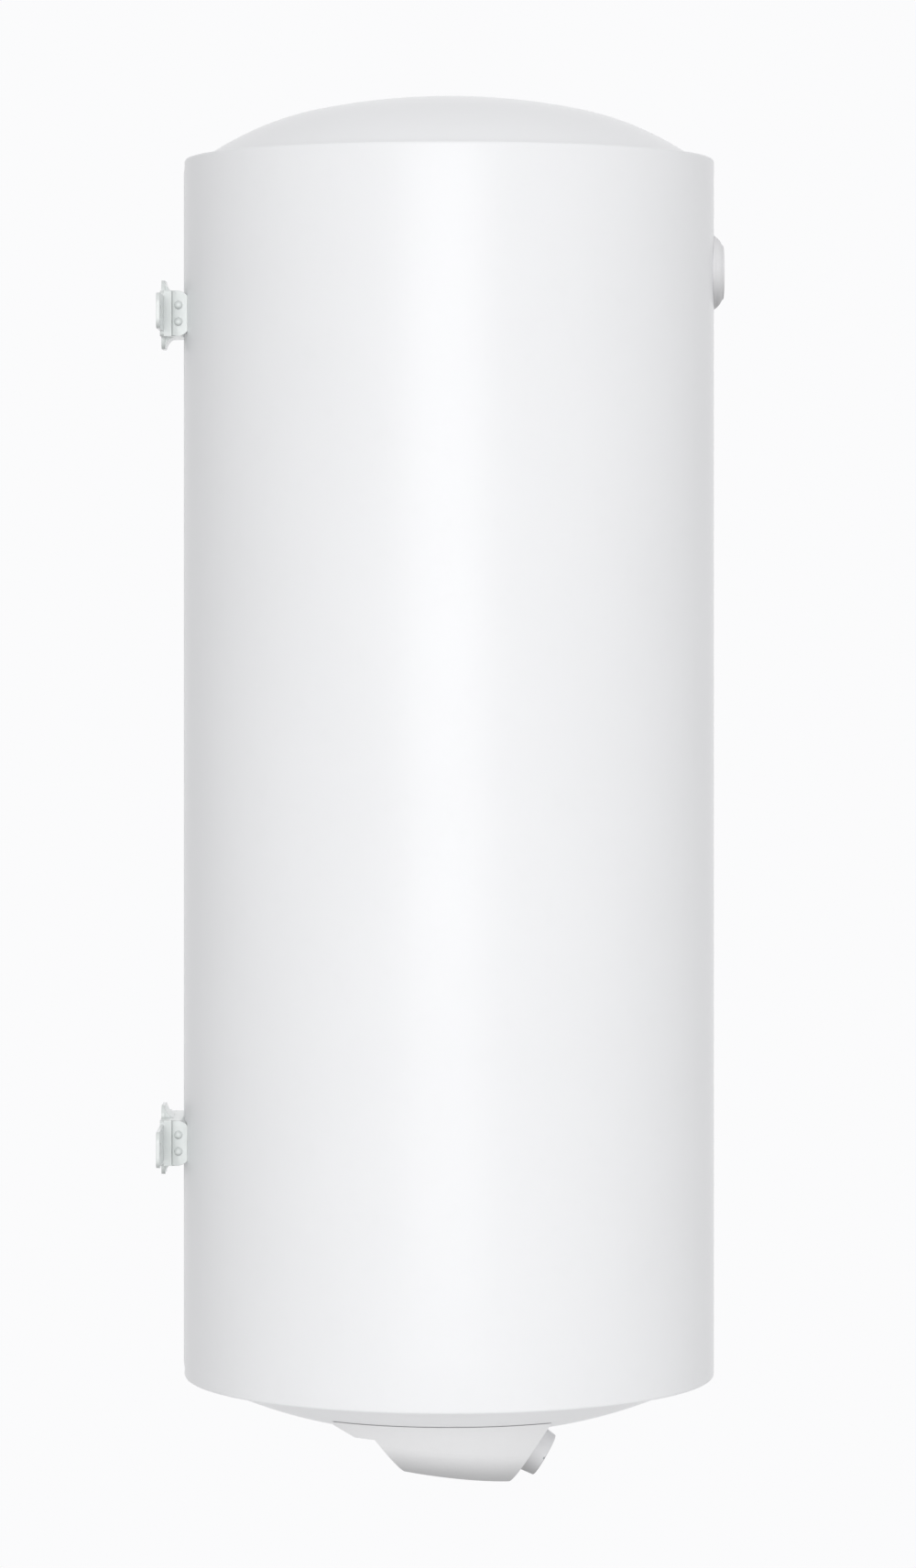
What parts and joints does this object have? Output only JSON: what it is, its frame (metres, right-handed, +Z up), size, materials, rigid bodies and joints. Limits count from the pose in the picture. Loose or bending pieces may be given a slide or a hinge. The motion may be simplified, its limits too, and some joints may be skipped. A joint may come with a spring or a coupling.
{
  "type": "tank water heater",
  "caption": "Wall-hung upright storage water heater: white drum on two wall brackets, dial thermometer near the top, slanted control cover with a thermostat knob below.",
  "frame": {"origin": "midway between the two holes of the upper wall plate, on the wall plane", "axes": "+Z up along the drum, +Y into the wall, -Y out of the front; X across"},
  "size_m": [0.45, 0.4773, 1.171],
  "materials": {
    "white_enamel": "gloss",
    "bracket_enamel": "satin",
    "white_plastic": "satin",
    "grey_plastic": "matte",
    "black_plastic": "matte",
    "red_plastic": "gloss",
    "blue_plastic": "gloss",
    "steel": "satin",
    "zinc_steel": "satin",
    "tank_enamel": "gloss",
    "foam": "matte",
    "copper": "satin",
    "brass": "satin",
    "magnesium": "matte",
    "rubber": "matte",
    "dial_white": "matte",
    "clear": "gloss",
    "lamp_red": "gloss",
    "brown_wire": "matte",
    "blue_wire": "matte",
    "green_wire": "matte"
  },
  "bodies": {
    "heater": {"outer_casing": "white_enamel", "top_cap": "white_enamel", "bottom_cap": "white_enamel", "foam_insulation": "foam", "tank_shell": "tank_enamel", "tank_top_end": "tank_enamel", "tank_bottom_end": "tank_enamel", "flange_ring": "steel", "flange_studs": "zinc_steel", "flange_gasket": "rubber", "flange_plate": "steel", "flange_nuts": "zinc_steel", "heating_element": "copper", "element_terminals": "zinc_steel", "thermowell": "copper", "anode_rod": "magnesium", "anode_stud": "zinc_steel", "earth_stud": "brass", "cold_inlet_pipe": "steel", "hot_outlet_pipe": "steel", "inlet_spreader": "grey_plastic", "hot_draw_off_tube": "grey_plastic", "cold_pipe_collar": "blue_plastic", "hot_pipe_collar": "red_plastic", "service_cover": "white_plastic", "cover_screws": "zinc_steel", "thermostat_body": "black_plastic", "thermostat_screws": "zinc_steel", "thermostat_capillary": "copper", "pilot_lamp_lens": "lamp_red", "pilot_lamp_body": "black_plastic", "terminal_block": "grey_plastic", "terminal_screws": "brass", "cable_gland": "grey_plastic", "gland_nut": "grey_plastic", "live_lead": "brown_wire", "element_lead": "brown_wire", "neutral_lead": "blue_wire", "earth_lead": "green_wire", "thermometer_case": "white_plastic", "thermometer_bezel": "white_plastic", "thermometer_dial": "dial_white", "thermometer_lens": "clear", "thermometer_stem": "brass", "upper_wall_plate": "bracket_enamel", "upper_tank_bracket": "bracket_enamel", "upper_bracket_feet": "steel", "upper_bracket_rivets": "zinc_steel", "lower_wall_plate": "bracket_enamel", "lower_tank_bracket": "bracket_enamel", "lower_bracket_feet": "steel", "lower_bracket_rivets": "zinc_steel"},
    "knob": {"control_knob": "white_plastic", "knob_pointer": "grey_plastic", "thermostat_spindle": "brass"},
    "gauge_pointer": {"thermometer_pointer": "black_plastic"},
    "reset": {"reset_button": "red_plastic"}
  },
  "joints": [
    {"name": "knob_turn", "type": "hinge", "parent": "heater", "child": "knob", "pos_m": [0, -0.3068, -0.95907], "axis": [0, 0.8618, 0.5073], "range_deg": [0, 270]},
    {"name": "pointer_turn", "type": "hinge", "parent": "heater", "child": "gauge_pointer", "pos_m": [0, -0.469, 0.0365], "axis": [0, 1, 0], "range_deg": [0, 240], "stiffness_Nm_per_rad": 0.0001},
    {"name": "reset_press", "type": "slide", "parent": "heater", "child": "reset", "axis": [-1, 0, 0], "range_m": [0, 0.002], "stiffness_N_per_m": 400}
  ]
}
